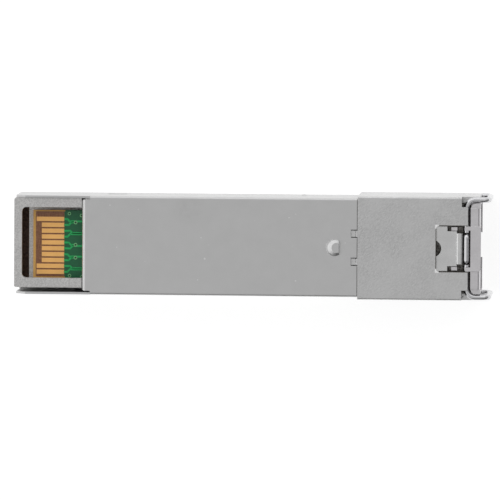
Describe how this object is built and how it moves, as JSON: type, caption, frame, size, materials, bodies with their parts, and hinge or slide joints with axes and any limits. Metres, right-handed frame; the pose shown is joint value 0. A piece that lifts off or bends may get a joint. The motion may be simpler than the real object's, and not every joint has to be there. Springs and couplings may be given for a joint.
{
  "type": "pluggable transceiver module",
  "caption": "Small pluggable network transceiver module with an edge connector at one end, a socket sleeve at the other and a wire bail that works its latch.",
  "frame": {"origin": "centre of the bounding box in X and Y, at the height of the sleeve's label-side face", "axes": "+X from the edge connector to the socket, +Z out of the contact side (the side with the latch boss), +Y completes the right-handed set"},
  "size_m": [0.0648, 0.014, 0.0115],
  "materials": {
    "die_cast_zinc": "satin",
    "plated_sheet": "satin",
    "slide_steel": "satin",
    "bright_wire": "polished",
    "spring_steel": "polished",
    "shield_metal": "satin",
    "label_stock": "matt",
    "board": "solder mask over glass fibre",
    "gold": "hard gold",
    "package_black": "matt",
    "silicone_pad": "matt",
    "can_metal": "satin",
    "ceramic": "fired ceramic",
    "ferrite": "matt",
    "insulator": "semi-gloss",
    "carrier": "matt"
  },
  "bodies": {
    "module": {"housing": "die_cast_zinc", "bottom_cover": "plated_sheet", "front_sleeve": "plated_sheet", "label": "label_stock", "circuit_board": "board", "edge_contacts_lower": "gold", "edge_contacts_upper": "gold", "phy_chip": "package_black", "thermal_pad": "silicone_pad", "memory_chip": "package_black", "crystal": "can_metal", "regulator": "package_black", "power_inductor": "ferrite", "ceramic_capacitors": "ceramic", "chip_resistors": "ceramic", "magnetics": "package_black", "jack_insulator": "insulator", "jack_shield": "shield_metal", "contact_carrier": "carrier", "jack_contacts": "gold", "return_spring_left": "spring_steel", "return_spring_right": "spring_steel"},
    "slide": {"latch_slide": "slide_steel"},
    "handle": {"bail": "bright_wire"}
  },
  "joints": [
    {"name": "bail_swing", "type": "hinge", "parent": "module", "child": "handle", "pos_m": [0.02906, 0, 0.01026], "axis": [0, -1, 0], "range_deg": [0, 90]},
    {"name": "latch_travel", "type": "slide", "parent": "module", "child": "slide", "axis": [-1, 0, 0], "range_m": [0, 0.00058], "stiffness_N_per_m": 0.5, "deforming": ["return_spring_left", "return_spring_right"]}
  ],
  "couplings": [
    {"joint": "bail_swing", "follows": "latch_travel", "rad_per_m": 2708}
  ]
}
